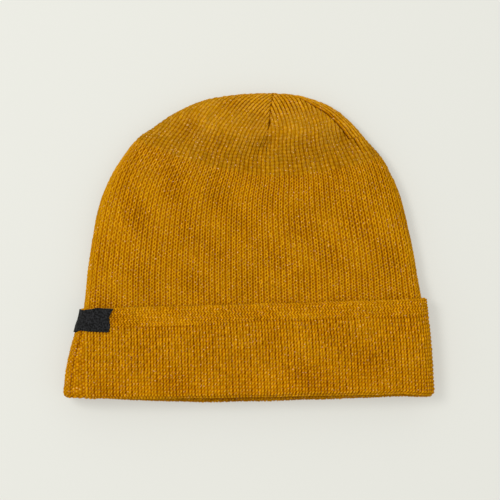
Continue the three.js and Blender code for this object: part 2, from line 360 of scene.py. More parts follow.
def crown_panels(at, front, back):
    pitch = smooth_table(at, PITCH_AT, PITCH)
    dart = smooth_table(at, DART_SHARE_AT, DART_SHARE)
    zero = np.zeros(at.shape)

    left_high = DART_RIB - lost(at, *LEFT_RIBS_LOST)
    left_low = np.maximum(left_high - front * dart / pitch, 0)
    left = Panel(np.minimum(left_low, left_high), left_high, zero, dart)

    wide = pitch * RIGHT_PITCH
    right_low = DART_RIB + lost(at, *RIGHT_RIBS_LOST)
    right_high = np.minimum(right_low + front * (1 - dart) / wide, FRONT_RIBS)
    plain = front * (1 - dart) * (right_high - TUCK_RIB) / (right_high - right_low)
    from_edge = np.maximum(plain, np.interp(at, TUCK_AT, TUCK_FROM_EDGE, left=0))
    tuck_share = np.clip(1 - from_edge / np.maximum(front, SHORTEST_COURSE), dart, 1)
    inner_high = right_low + front * (tuck_share - dart) / wide
    inner = Panel(right_low, np.clip(inner_high, right_low, TUCK_RIB), dart, tuck_share)
    outer_high = TUCK_RIB + from_edge / wide
    outer = Panel(zero + TUCK_RIB, np.clip(outer_high, TUCK_RIB, FRONT_RIBS), tuck_share, zero + 1)

    before = BACK_DART_RIB - lost(at, *BACK_RIBS_LOST)
    after = BACK_DART_RIB + lost(at, *BACK_RIBS_LOST)
    half = back / 2 / pitch
    back_right = Panel(np.maximum(before - half, FRONT_RIBS), before, zero + 1, zero + 1.5)
    back_left = Panel(after, np.minimum(after + half, RIBS), zero + 1.5, zero + 2)
    return {
        "front_left": left,
        "front_middle": inner,
        "front_right": outer,
        "back_right": back_right,
        "back_left": back_left,
    }


# Surface of the stitches

# Shape of each kind of stitch. In ribs: narrow and wide say how far its two legs stand from the rib's middle
# at their ends and halfway, lean how far they lean to the right from foot to head, radius half the yarn's
# width and swing how far the legs swing aside from row to row. In rows: overlap says how far a leg reaches
# past its row. In mm: thick says how far the yarn's sides lie below its crest, dive how far a leg sinks at
# its ends, middle and groove how deep the rib's middle and the groove between two ribs lie, rounded how far
# a rib falls off towards its sides, and middle_bridge and groove_bridge how much shallower the middle and
# the groove get from the middle of a row to its ends. sudden says how suddenly the legs part, and the last
# field how light the yarn is painted, as STITCH_SHADES has it. On the slope and the crown that is painted
# shade, which darkens them; for the other kinds it only makes the yarn a little lighter or darker.
STITCH_FIELDS = (
    "narrow", "wide", "lean", "radius", "thick", "dive", "middle", "groove", "rounded", "swing", "overlap",
    "sudden", "middle_bridge", "groove_bridge", "tone_and_shade",
)
STITCHES = {
    "body": (0.08, 0.265, 0.0, 0.13, 0.3, 0.2, 1.08, 0.97, 0.05, 0.0, 0.1, 1.4, 0.4, -0.35, -0.4),
    "slope": (0.12, 0.2, 0.0, 0.2, 0.45, 0.65, 0.75, 0.75, 0.1, 0.0, 0.08, 1.5, 0.15, -0.25, -3.1),
    "crown": (0.12, 0.19, 0.0, 0.2, 0.35, 0.5, 0.5, 0.6, 0.1, 0.0, 0.1, 1.5, 0.15, -0.2, -2.3),
    "top": (0.12, 0.19, 0.0, 0.2, 0.35, 0.5, 0.75, 1.15, 0.1, 0.0, 0.1, 1.5, 0.15, -0.2, -0.6),
    "edge": (0.1, 0.15, 0.0, 0.2, 0.35, 0.4, 0.7, 1.4, 0.2, 0.0, 0.1, 1.5, 0.15, 0.0, -0.6),
    "cuff": (0.25, 0.25, 0.12, 0.16, 0.4, 0.75, 1.15, 1.25, 0.0, 0.0, 0.03, 1.0, 0.25, 0.25, -0.3),
    "hem": (0.25, 0.25, 0.16, 0.16, 0.4, 1.1, 1.15, 1.25, 0.0, 0.0, 0.02, 1.0, 0.35, 0.35, 0.0),
    "band": (0.25, 0.25, 0.05, 0.17, 0.35, 0.75, 1.15, 1.15, 0.0, 0.14, 0.02, 1.0, 0.2, 0.2, 0.3),
}

# A groove starts and is complete this far from a rib's middle, in ribs
GROOVE_EDGES = (0.34, 0.44)

# A leg rises from its ends as a sine to this power
DIVE_SHAPE = 0.7

# How uneven the legs are: aside in ribs, thicker as a share and raised in mm. The pattern starts again after
# so many rows.
LEG_ASIDE = 0.025
LEG_THICKER = 0.09
LEG_RAISED = 0.08
ROW_TABLE = 128

# Slow waves in the place of the rows and in the height: how large, how many of them, and the length of the
# shortest in ribs and in rows
ROW_WAVES = (0.16, 9, 5, 30)
HEIGHT_WAVES = (0.12, 8, 9, 12)

# How fast the longest wave turns next to the shortest, and at how many times the usual swing of their sum it
# counts as fully up or down
LONGEST_WAVE = 0.3
WAVE_PEAK = 1.5

# Bumps in place of ribs: their depth, shape and unevenness, and the waves in their place
PURL_DEPTH = 1.1
PURL_SHAPE = 0.8
PURL_RAISED = 0.1
PURL_WAVES = (0.25, 9, 3, 4)


def blend(*stages):
    """Stitch shape for each row: stages are (name, weight for each row), the weights adding up to 1."""
    mixed = sum(np.outer(weight, STITCHES[name]) for name, weight in stages)
    return {field: mixed[:, [index]] for index, field in enumerate(STITCH_FIELDS)}


def mix_surfaces(first, second, share):
    """Two surfaces, each a height and a lightness, with the given share of the second one."""
    return [low * (1 - share) + high * share for low, high in zip(first, second)]


def waves(u, v, seed, size, count, in_ribs, in_rows):
    """Smooth noise of about -size to size: sine waves, the shortest as long as in_ribs and in_rows."""
    chance = np.random.default_rng(seed)
    total = np.zeros(np.broadcast(u, v).shape)
    for _ in range(count):
        turn_u = chance.uniform(LONGEST_WAVE, 1) * 2 * np.pi / in_ribs * chance.choice((-1, 1))
        turn_v = chance.uniform(LONGEST_WAVE, 1) * 2 * np.pi / in_rows
        total = total + np.sin(turn_u * u + turn_v * v + chance.uniform(0, 2 * np.pi))
    return size * (total / math.sqrt(count / 2) / WAVE_PEAK)


def stitch_surface(u, v, shape, seed):
    """Height of the yarn in mm, and how light each stitch is painted, at ribs u and rows v. The lightness
    holds painted shade where the shape darkens the slope and the crown.
    """
    chance = np.random.default_rng(seed)
    uneven = chance.normal(0, 1, (RIBS, ROW_TABLE, 2, 4))
    v = v + waves(u, v, seed + 1, *ROW_WAVES)
    triangle = 4 * np.abs(v / 2 - np.floor(v / 2) - 0.5) - 1
    u = u - shape["swing"] * triangle
    rib = np.floor(u).astype(int)
    across = u - rib - 0.5
    row = np.floor(v).astype(int)

    groove = step_up(np.abs(across), *GROOVE_EDGES)
    between_rows = np.cos(2 * np.pi * v) / 2
    middle = -shape["middle"] + shape["middle_bridge"] * (between_rows + 0.5)
    height = middle * (1 - groove) + (shape["groove_bridge"] * between_rows - shape["groove"]) * groove
    tone_and_shade = np.zeros(height.shape)
    for other in (-1, 0, 1):
        leg_row = row + other
        raised = (v - leg_row + shape["overlap"]) / (1 + 2 * shape["overlap"])
        t = np.clip(raised, 0, 1)
        parted = np.sin(np.pi * t) ** shape["sudden"]
        spread = shape["narrow"] + (shape["wide"] - shape["narrow"]) * parted
        aside = shape["lean"] * (t - 0.5)
        sunk = shape["dive"] * (1 - np.sin(np.pi * t) ** DIVE_SHAPE)
        for side, sign in enumerate((-1, 1)):
            odd = uneven[rib % RIBS, leg_row % ROW_TABLE, side]
            centre = sign * spread + aside + LEG_ASIDE * odd[..., 0]
            radius = shape["radius"] * (1 + LEG_THICKER * odd[..., 1])
            off = np.abs(across - centre) / radius
            tube = shape["thick"] * (np.sqrt(np.maximum(1 - off**2, 0)) - 1)
            leg = tube - sunk + LEG_RAISED * odd[..., 2]
            wins = (off < 1) & (raised > 0) & (raised < 1) & (leg > height)
            height = np.where(wins, leg, height)
            tone_and_shade = np.where(wins, odd[..., 3], tone_and_shade)
    height = height - shape["rounded"] * (2 * across) ** 2 + waves(u, v, seed + 2, *HEIGHT_WAVES)
    return height, tone_and_shade + shape["tone_and_shade"]


def purl_surface(u, v, seed):
    """Height and lightness of small bumps, two to a rib, each second column half a row higher."""
    chance = np.random.default_rng(seed)
    uneven = chance.normal(0, 1, (2 * RIBS, ROW_TABLE, 2))
    u = 2 * u + waves(u, v, seed + 1, *PURL_WAVES)
    column = np.floor(u).astype(int)
    v = v + 0.5 * (column % 2)
    row = np.floor(v).astype(int)
    odd = uneven[column % (2 * RIBS), row % ROW_TABLE]
    bump = np.abs(np.sin(np.pi * u) * np.sin(np.pi * v)) ** PURL_SHAPE
    return (bump - 1) * PURL_DEPTH + PURL_RAISED * odd[..., 0], odd[..., 1]


# Meshes

def make_mesh(name, points, faces, values, places):
    """points in mm, faces as lists of point numbers, values as named columns with a number for each point,
    places as a pair of 0 to 1 texture coordinates for each point."""
    mesh = bpy.data.meshes.new(name)
    mesh.from_pydata((points * MM).tolist(), [], faces)
    for title, column in values.items():
        mesh.attributes.new(title, "FLOAT", "POINT").data.foreach_set("value", column.astype(np.float32))
    corner = np.zeros(len(mesh.loops), np.int32)
    mesh.loops.foreach_get("vertex_index", corner)
    layer = mesh.uv_layers.new(name="OFBake")
    layer.data.foreach_set("uv", places[corner].astype(np.float32).ravel())
    mesh.shade_smooth()
    piece = bpy.data.objects.new(name, mesh)
    bpy.context.scene.collection.objects.link(piece)
    return piece


def grid_faces(numbers):
    """Faces of a grid of point numbers. Where neighbours are one point the quad shrinks to a triangle."""
    corners = np.stack([numbers[:-1, :-1], numbers[:-1, 1:], numbers[1:, 1:], numbers[1:, :-1]], -1)
    corners = corners.reshape(-1, 4)
    same_foot = corners[:, 0] == corners[:, 1]
    same_head = corners[:, 2] == corners[:, 3]
    quads = corners[~same_foot & ~same_head].tolist()
    feet = corners[same_foot & ~same_head][:, [0, 2, 3]].tolist()
    heads = corners[~same_foot & same_head][:, [0, 1, 2]].tolist()
    return quads + feet + heads


def grid_piece(name, grid, values, merged):
    """Mesh of a grid of points. merged is the grid of point numbers with those that coincide made one."""
    used, inverse = np.unique(merged, return_inverse=True)
    faces = grid_faces(inverse.reshape(merged.shape))
    rows, columns = merged.shape
    place_v, place_u = np.meshgrid(np.linspace(0, 1, rows), np.linspace(0, 1, columns), indexing="ij")
    places = np.stack([place_u.ravel(), place_v.ravel()], -1)[used]
    points = grid.reshape(-1, 3)[used]
    picked = {title: column.ravel()[used] for title, column in values.items()}
    return make_mesh(name, points, faces, picked, places)


# How far the hem hangs lower than the course table says, for some places across, and how far up that fades
# out. The lower layer's fold shows as a second line under the upper layer's.
HEM_X = (-101, -91, -31, 32, 96, 111)
UPPER_HEM_DROP = (1.0, 1.0, -0.4, -1.5, -1.6, -0.3)
LOWER_HEM_DROP = (1.0, 1.0, 1.0, -0.3, 0.1, 1.3)
HEM_DROP_REACH = 30.0

# The side fold goes over from the lower to the upper layer where the sine of the turn is within this
LAYER_CHANGE = 0.12


def hem_drop(x, at, turn):
    upper = step_up(np.sin(turn), -LAYER_CHANGE, LAYER_CHANGE)
    lower_drop = np.interp(x, HEM_X, LOWER_HEM_DROP)
    drop = lower_drop + (np.interp(x, HEM_X, UPPER_HEM_DROP) - lower_drop) * upper
    return drop * (1 - step_up(at, 0, HEM_DROP_REACH))


# Paths along the fabric: rows of (at, out, facing along, facing out, length so far). "out" is measured
# outward from the body's outer face, and the last pair of numbers before the length is the way that the
# face looks.

def straight(from_at, to_at, out, step):
    count = max(round(abs(to_at - from_at) / step), 1)
    at = np.linspace(from_at, to_at, count + 1)
    facing = math.copysign(1, to_at - from_at)
    nothing = np.zeros(at.shape)
    return np.stack([at, nothing + out, nothing, nothing + facing, np.abs(at - from_at)], -1)


def bend(centre_at, centre_out, radius, from_angle, to_angle, step):
    length = radius * abs(to_angle - from_angle)
    angle = np.linspace(from_angle, to_angle, max(round(length / step), 1) + 1)
    along, out = np.cos(angle), np.sin(angle)
    gone = radius * np.abs(angle - from_angle)
    return np.stack([centre_at + radius * along, centre_out + radius * out, along, out, gone], -1)


def join_paths(parts):
    rows = [parts[0]]
    for part in parts[1:]:
        moved = part[1:].copy()
        moved[:, 4] += rows[-1][-1, 4]
        rows.append(moved)
    return np.vstack(rows)


# The hem fold, the cuff's rounded free edge, the rows of the band with their finer mesh, and how far the
# cuff's path runs on inside the cap and behind the cuff
HEM_OUT = CUFF_INNER / 2
HEM_RADIUS = CUFF_OUTER - HEM_OUT
RIM_OUT = CUFF_INNER + WALL / 2
RIM_RADIUS = WALL / 2
BAND_ROW = 1.6
BAND_FROM = 41.0
FINE = CUFF_ROW / ROW_STEPS
FINER = BAND_ROW / ROW_STEPS
COARSE = CUFF_ROW / 3
HEM_INSIDE_AT = 8.0
RIM_INSIDE_AT = 46.0

CUFF_PATH = join_paths([
    straight(HEM_INSIDE_AT, 0, -WALL, COARSE),
    bend(0, HEM_OUT, HEM_RADIUS, 1.5 * np.pi, 0.5 * np.pi, FINE),
    straight(0, BAND_FROM, CUFF_OUTER, FINE),
    straight(BAND_FROM, CUFF_LENGTH, CUFF_OUTER, FINER),
    bend(CUFF_LENGTH, RIM_OUT, RIM_RADIUS, 0.5 * np.pi, -0.5 * np.pi, FINE),
    straight(CUFF_LENGTH, RIM_INSIDE_AT, CUFF_INNER, COARSE),
])
OUTER_FACE_START = HEM_INSIDE_AT + HEM_RADIUS * np.pi


# The label draws the cuff in at its left fold
PINCH = 1.7
PINCH_AT = (42, 55)
PINCH_TURN = 0.3


def pinch(at, out, turn):
    from_fold = np.minimum(np.mod(turn, 2 * np.pi), np.mod(-turn, 2 * np.pi))
    in_cuff = np.clip(out / CUFF_INNER, 0, 1)
    return PINCH * in_cuff * step_up(at, *PINCH_AT) * np.exp(-(from_fold / PINCH_TURN) ** 2)


def fabric_points(path, turn):
    """Points of the fabric and the way that each faces. A negative "at" runs straight on past the hem."""
    at = np.broadcast_to(np.clip(path[:, [0]], 0, TIP_AT), turn.shape)
    out = path[:, [1]][..., None]
    past = np.minimum(path[:, [0]], 0)[..., None]
    normal = unit(sample(NORMALS, at, turn))
    along = unit(sample(ALONG, at, turn))
    drawn_in = pinch(at, out[..., 0], turn)[..., None]
    points = sample(POINTS, at, turn) + normal * (out - drawn_in) + along * past
    points[..., 1] -= hem_drop(points[..., 0], at, turn)
    facing = along * path[:, [2]][..., None] + normal * path[:, [3]][..., None]
    return points, facing


def turns_of(path, shares):
    """Turn for each row's shares of the course, measured along the fabric itself."""
    turn = np.empty(shares.shape)
    for index, (at, out) in enumerate(path[:, :2]):
        turns, reached, _, _ = ring(at, out)
        turn[index] = np.interp(shares[index], reached, turns)
    return turn


# How far the yarn's crests stand out of the face, how deep the yarn lies where it is painted darkest and how
# light the highest crests get. The yarn is painted darker the deeper it lies: painted shade in the gaps
# between stitches.
TOP_OF_YARN = 0.3
PAINTED_SHADE_DEPTH = 1.3
LIGHTEST = 1.2


def knit_piece(name, path, shares, surface, sink, merged):
    """A face of knitted fabric. surface is the height and the lightness of its stitches, the lightness with the
    painted shade of the slope and the crown in it, and sink how many mm each point is drawn down."""
    turn = turns_of(path, shares)
    points, facing = fabric_points(path, turn)
    height, tone_and_shade = surface
    height = height - sink
    # Painted shade: the deeper the yarn lies, the darker its colour, as if shaded in the gaps between stitches
    lightness = np.clip(1 + height / PAINTED_SHADE_DEPTH, 0, LIGHTEST)
    points = points + facing * (height + TOP_OF_YARN)[..., None]
    points[..., 2] = np.maximum(points[..., 2], 0)
    return grid_piece(name, points, {"yarn_height_and_gap_shade": lightness, "stitch_tone_and_shade": tone_and_shade}, merged)


# The body and the crown, in panels that meet at the darts and at the side folds

# Where the body's stitches go over into those of the slope, the crown and the top. The stitches of the slope
# and the crown carry painted shade.
SLOPE_FROM = (137.5, 140.5)
CROWN_FROM = (157, 166)
TOP_FROM = (172, 182)

# Seams along the side folds, the darts and the tuck: how deep they are, where they start, how wide they are
# and which share of the depth they have. A short way up each dart there is a small hole.
SEAM_DEPTH = 1.2
SIDE_SEAM_AT = (108, 118)
SIDE_SEAM_WIDTH = 0.5
SIDE_SEAM = 0.3
DART_SEAM_AT = (160, 168)
DART_SEAM_WIDTH = 0.45
DART_SEAM = 0.45
DART_HOLE_AT = 171.5
DART_HOLE_LENGTH = 2.5
TUCK_INSIDE_WIDTH = 0.5
TUCK_INSIDE = 0.7
TUCK_OUTSIDE_WIDTH = 1.2


def seam_share(distance, width, on):
    return on[:, None] * np.exp(-(np.maximum(distance, 0) / width) ** 2)


def panel_piece(name, path, limits, pitch, ribs, rib_steps, shape, low_seam, high_seam):
    """low_seam and high_seam are (width, share of the depth for each row) of the sink along that edge."""
    first, last = ribs
    columns = np.linspace(first, last, (last - first) * rib_steps + 1)
    low = limits.low[:, None]
    high = limits.high[:, None]
    u = np.clip(columns[None, :], low, high)
    share_span = limits.share_high - limits.share_low
    shares = limits.share_low[:, None] + (u - low) / (high - low) * share_span[:, None]
    v = np.broadcast_to(path[:, [0]] / BODY_ROW, u.shape)
    from_low = (u - low) * pitch[:, None]
    from_high = (high - u) * pitch[:, None]
    sink = SEAM_DEPTH * np.maximum(seam_share(from_low, *low_seam), seam_share(from_high, *high_seam))

    rows = len(path)
    numbers = np.arange(rows * len(columns)).reshape(rows, -1)
    before = np.searchsorted(columns, limits.low, side="right") - 1
    after = np.searchsorted(columns, limits.high, side="left")
    column = np.arange(len(columns))[None, :]
    held = np.clip(column, np.maximum(before, 0)[:, None], np.minimum(after, len(columns) - 1)[:, None])
    merged = np.take_along_axis(numbers, held, axis=1)
    return knit_piece(name, path, shares, stitch_surface(u, v, shape, BODY_SEED), sink, merged)


def build_panels():
    path = straight(PANEL_START_AT, TIP_AT, 0, BODY_ROW / ROW_STEPS)
    at = path[:, 0]
    lengths = np.array([ring(place, 0)[2:] for place in at])
    limits = crown_panels(at, lengths[:, 0], lengths[:, 1])
    pitch = np.interp(at, PITCH_AT, PITCH)

    slope = step_up(at, *SLOPE_FROM)
    crown = step_up(at, *CROWN_FROM)
    top = step_up(at, *TOP_FROM)
    edge = step_up(at, *TUCK_OPENS_AT)
    shape = blend(("body", 1 - slope), ("slope", slope - crown), ("crown", crown - top), ("top", top))
    edge_shape = blend(("body", 1 - slope), ("slope", slope - edge), ("edge", edge))

    side = (SIDE_SEAM_WIDTH, SIDE_SEAM * step_up(at, *SIDE_SEAM_AT))
    hole = np.exp(-((at - DART_HOLE_AT) / DART_HOLE_LENGTH) ** 2)
    dart = (DART_SEAM_WIDTH, DART_SEAM * step_up(at, *DART_SEAM_AT) + hole)
    open_tuck = edge * (1 - step_up(at, *TUCK_CLOSES_AT))
    tuck_inside = (TUCK_INSIDE_WIDTH, TUCK_INSIDE * open_tuck)
    tuck_outside = (TUCK_OUTSIDE_WIDTH, open_tuck)

    panels = (
        ("front_left", (0, DART_RIB), FRONT_RIB_STEPS, shape, side, dart),
        ("front_middle", (DART_RIB, TUCK_RIB), FRONT_RIB_STEPS, shape, dart, tuck_inside),
        ("front_right", (TUCK_RIB, FRONT_RIBS), FRONT_RIB_STEPS, edge_shape, tuck_outside, side),
        ("back_right", (FRONT_RIBS, BACK_DART_RIB), BACK_RIB_STEPS, shape, side, dart),
        ("back_left", (BACK_DART_RIB, RIBS), BACK_RIB_STEPS, shape, dart, side),
    )
    return [panel_piece("panel_" + name, path, limits[name], pitch, *rest) for name, *rest in panels]


# The turned-up cuff

# The cuff's ribs keep most of their width from the hem up, counted from the right side fold, so that the
# first few run off the left one
CUFF_WIDTH_HELD = 0.75

# Left of the raised seam rib there are bumps in place of ribs, also round the side fold
CUFF_SEAM_RIB = 5.25
CUFF_SEAM_WIDTH = 0.22
CUFF_SEAM_RAISED = 0.4
PURL_EDGES = (CUFF_SEAM_RIB - 0.42, CUFF_SEAM_RIB - 0.25)
BACK_PURL_EDGES = (RIBS - 1.6, RIBS - 1.4)

# The left edge is rolled over, with a furrow beside it: how far from the side fold, how wide and how deep
ROLL_AT = 9.3
ROLL_WIDTH = 0.9
ROLL_DEPTH = 0.6

# Near the hem the stitches are rounder
HEM_STITCHES = (6, 24)

# Where the band along the free edge starts, for some ribs round the cuff, and how far from there the two
# kinds of stitches mix
BAND_RIB = (9, 16, 21, 28, 33, FRONT_RIBS, RIBS)
BAND_LOW_AT = (42.4, 42.6, 43.2, 44.6, 45.8, 45.6, 42.4)
BAND_MIX = 0.5

# Dark dots between the legs just under the band: how far down, how long and how deep
BAND_DOTS_BELOW = 0.4
BAND_DOTS_LENGTH = 0.6
BAND_DOTS_DEPTH = 0.3


def cuff_shares(path, columns):
    lengths = np.array([ring(at, CUFF_OUTER)[2:] for at in path[:, 0]])
    front, back = lengths[:, [0]], lengths[:, [1]]
    wide = 1 + CUFF_WIDTH_HELD * (ring(0, CUFF_OUTER)[2] / front - 1)
    front_share = 1 - (1 - columns / FRONT_RIBS) * wide
    round_fold = 2 + front_share * front / back
    back_share = 1 + (columns / FRONT_RIBS - 1) * (1 - (wide - 1) * front / back)
    share = np.where(front_share < 0, round_fold, front_share)
    return np.where(columns < FRONT_RIBS, share, back_share), front


def cuff_piece(name, ribs, rib_steps):
    first, last = ribs
    columns = np.linspace(first, last, (last - first) * rib_steps + 1)[None, :]
    path = CUFF_PATH
    shares, front_length = cuff_shares(path, columns)
    from_hem = np.broadcast_to(path[:, [4]] - OUTER_FACE_START, shares.shape)
    u = np.broadcast_to(columns + OTHER_FACE, shares.shape)
    v = from_hem / CUFF_ROW

    hem = 1 - step_up(from_hem[:, 0], *HEM_STITCHES)
    ribbed = stitch_surface(u, v, blend(("cuff", 1 - hem), ("hem", hem)), CUFF_SEED)
    purl = np.maximum(1 - step_up(columns, *PURL_EDGES), step_up(columns, *BACK_PURL_EDGES))
    plain = mix_surfaces(ribbed, purl_surface(u, v, CUFF_SEED), purl)

    from_band = from_hem - np.interp(columns, BAND_RIB, BAND_LOW_AT)
    band = step_up(from_band, -BAND_MIX, BAND_MIX)
    band_shape = blend(("band", np.ones(len(path))))
    chevrons = stitch_surface(u, (from_hem - CUFF_LENGTH) / BAND_ROW, band_shape, CUFF_SEED)
    surface = mix_surfaces(plain, chevrons, band)

    under_band = np.exp(-((from_band + BAND_DOTS_BELOW) / BAND_DOTS_LENGTH) ** 2)
    between_legs = 0.5 + 0.5 * np.cos(4 * np.pi * u)
    dots = BAND_DOTS_DEPTH * under_band * between_legs
    roll = ROLL_DEPTH * np.exp(-((shares * front_length - ROLL_AT) / ROLL_WIDTH) ** 2)
    seam = np.exp(-((columns - CUFF_SEAM_RIB) / CUFF_SEAM_WIDTH) ** 2) * (1 - band) * CUFF_SEAM_RAISED
    numbers = np.arange(u.size).reshape(u.shape)
    return knit_piece(name, path, shares, surface, roll + dots - seam, numbers)


def build_cuff():
    quarters = (
        ("front_left", (0, DART_RIB), FRONT_RIB_STEPS),
        ("front_right", (DART_RIB, FRONT_RIBS), FRONT_RIB_STEPS),
        ("back_right", (FRONT_RIBS, BACK_DART_RIB), BACK_RIB_STEPS),
        ("back_left", (BACK_DART_RIB, RIBS), BACK_RIB_STEPS),
    )
    return [cuff_piece("cuff_" + name, ribs, rib_steps) for name, ribs, rib_steps in quarters]


# The fabric's inner face and the layers that lie inside the cuff, with coarser meshes

# Where their stretches start and end, and the steps of their meshes
INSIDE_TOP_AT = TIP_AT - 2.5
INSIDE_MOUTH_AT = 40.0
INSIDE_STEP = 3.0
INSIDE_RIB_STEPS = 4
TUCKED_FOLD_AT = 0.8
TUCKED_FOLD_STEP = 0.5
TUCKED_STEP = 4.0
TUCKED_RIB_STEPS = 2

# The layers inside the cuff are smooth and painted with the colour of yarn at this height, which is partly
# painted shade of the gaps between stitches
TUCKED_GAP_SHADE = 0.5


def round_columns(path, rib_steps):
    """Ribs right round the cap and their shares of each course."""
    columns = np.linspace(0, RIBS, RIBS * rib_steps + 1)
    ribs = np.broadcast_to(columns[None, :], (len(path), len(columns)))
    return ribs, ribs / FRONT_RIBS


def build_inside():
    path = join_paths([
        straight(INSIDE_TOP_AT, INSIDE_MOUTH_AT, -WALL, INSIDE_STEP),
        straight(INSIDE_MOUTH_AT, HEM_INSIDE_AT, -WALL, COARSE),
    ])
    ribs, shares = round_columns(path, INSIDE_RIB_STEPS)
    v = np.broadcast_to(path[:, [4]] / CUFF_ROW, ribs.shape)
    surface = stitch_surface(ribs + OTHER_FACE, v, blend(("crown", np.ones(len(path)))), INSIDE_SEED)
    numbers = np.arange(ribs.size).reshape(ribs.shape)
    return knit_piece("inside_face", path, shares, surface, 0, numbers)


def build_tucked():
    radius = CUFF_INNER / 2
    path = join_paths([
        straight(RIM_INSIDE_AT, TUCKED_FOLD_AT, CUFF_INNER, TUCKED_STEP),
        bend(TUCKED_FOLD_AT, radius, radius, 0.5 * np.pi, 1.5 * np.pi, TUCKED_FOLD_STEP),
        straight(TUCKED_FOLD_AT, PANEL_START_AT, 0, TUCKED_STEP),
    ])
    ribs, shares = round_columns(path, TUCKED_RIB_STEPS)
    points, _ = fabric_points(path, turns_of(path, shares))
    numbers = np.arange(ribs.size).reshape(ribs.shape)
    flat = {"yarn_height_and_gap_shade": np.full(ribs.shape, TUCKED_GAP_SHADE), "stitch_tone_and_shade": np.zeros(ribs.shape)}
    return grid_piece("tucked_layers", points, flat, numbers)


# Materials

def node(tree, kind, **settings):
    made = tree.nodes.new(kind)
    for name, value in settings.items():
        setattr(made, name, value)
    return made


def plain_material(name, roughness, specular):
    material = bpy.data.materials.new(name)
    material.use_nodes = True
    tree = material.node_tree
    shader = tree.nodes["Principled BSDF"]
    shader.inputs["Roughness"].default_value = roughness
    shader.inputs["Specular IOR Level"].default_value = specular
    return material, tree, shader


def ramp(tree, stops, factor):
    made = node(tree, "ShaderNodeValToRGB")
    elements = made.color_ramp.elements
    while len(elements) < len(stops):
        elements.new(0.5)
    for element, (place, color) in zip(elements, stops):
        element.position = place
        element.color = (*color, 1)
    tree.links.new(factor, made.inputs["Fac"])
    return made.outputs["Color"]


def noise(tree, place, scale, detail):
    made = node(tree, "ShaderNodeTexNoise")
    made.inputs["Scale"].default_value = scale
    made.inputs["Detail"].default_value = detail
    tree.links.new(place, made.inputs["Vector"])
    return made.outputs["Fac"]


def attribute(tree, name):
    return node(tree, "ShaderNodeAttribute", attribute_name=name).outputs["Fac"]


def between(tree, value, *limits):
    """Moves a value from the range of the first two limits to that of the last two."""
    made = node(tree, "ShaderNodeMapRange")
    for name, number in zip(("From Min", "From Max", "To Min", "To Max"), limits):
        made.inputs[name].default_value = number
    tree.links.new(value, made.inputs["Value"])
    return made.outputs["Result"]


def noise_between(tree, place, scale, detail, *limits):
    return between(tree, noise(tree, place, scale, detail), *limits)


def times(tree, first, second):
    made = node(tree, "ShaderNodeMath", operation="MULTIPLY")
    tree.links.new(first, made.inputs[0])
    tree.links.new(second, made.inputs[1])
    return made.outputs["Value"]


def mix_colors(tree, kind, factor, first, second):
    made = node(tree, "ShaderNodeMix", data_type="RGBA", blend_type=kind)
    for name, value in (("Factor", factor), ("A", first), ("B", second)):
        if hasattr(value, "links"):
            tree.links.new(value, made.inputs[name])
        else:
            made.inputs[name].default_value = value
    return made.outputs["Result"]


def add_bump(tree, shader, height, strength, distance):
    bump = node(tree, "ShaderNodeBump")
    bump.inputs["Strength"].default_value = strength
    bump.inputs["Distance"].default_value = distance
    tree.links.new(height, bump.inputs["Height"])
    tree.links.new(bump.outputs["Normal"], shader.inputs["Normal"])


# Colour of the yarn on its crests, painted darker and browner down into the gaps between stitches as painted
# shade
YARN_COLORS_AND_GAP_SHADE = (
    (0.0, (0.195, 0.054, 0.0)),
    (0.3, (0.366, 0.124, 0.0003)),
    (0.7, (0.502, 0.212, 0.0012)),
    (1.0, (0.575, 0.274, 0.004)),
)
SHEEN_WEIGHT = 0.12
SHEEN_ROUGHNESS = 0.5
SHEEN_TINT = (1, 0.6, 0.05, 1)

# How light a stitch is painted: the range of its tone, which on the slope and the crown is painted shade, and
# the factors that it stands for
STITCH_SHADES = (-5, 5, 0.6, 1.4)

# Noises, one row each: scale, detail, the range of the noise that counts and what it becomes
YARN_SHADES = (900, 2, 0.3, 0.7, 0.9, 1.1)
FABRIC_SHADES = (30, 2, 0.3, 0.7, 0.97, 1.03)
FLECKS = (1000, 1, 0.67, 0.785, 0, 0.75)
FUZZ_PATCHES = (800, 2, 0.45, 0.7, 0, 1)

# Pale fibres: flecks all over, and on the crown a fuzz too, which starts between two places up the cap, in
# metres, and lies on the upper part of the yarn
PALE_FIBRE = (0.88, 0.56, 0.27, 1)
FUZZ = 0.12
FUZZ_FROM = (0.04, 0.075)
FUZZ_HEIGHTS = (0.55, 1, 0, 1)

# Twist of the yarn: scale and detail of its noise, strength and height in metres of its bump
TWIST_NOISE = (3200, 3)
TWIST_BUMP = (0.35, 0.00025)


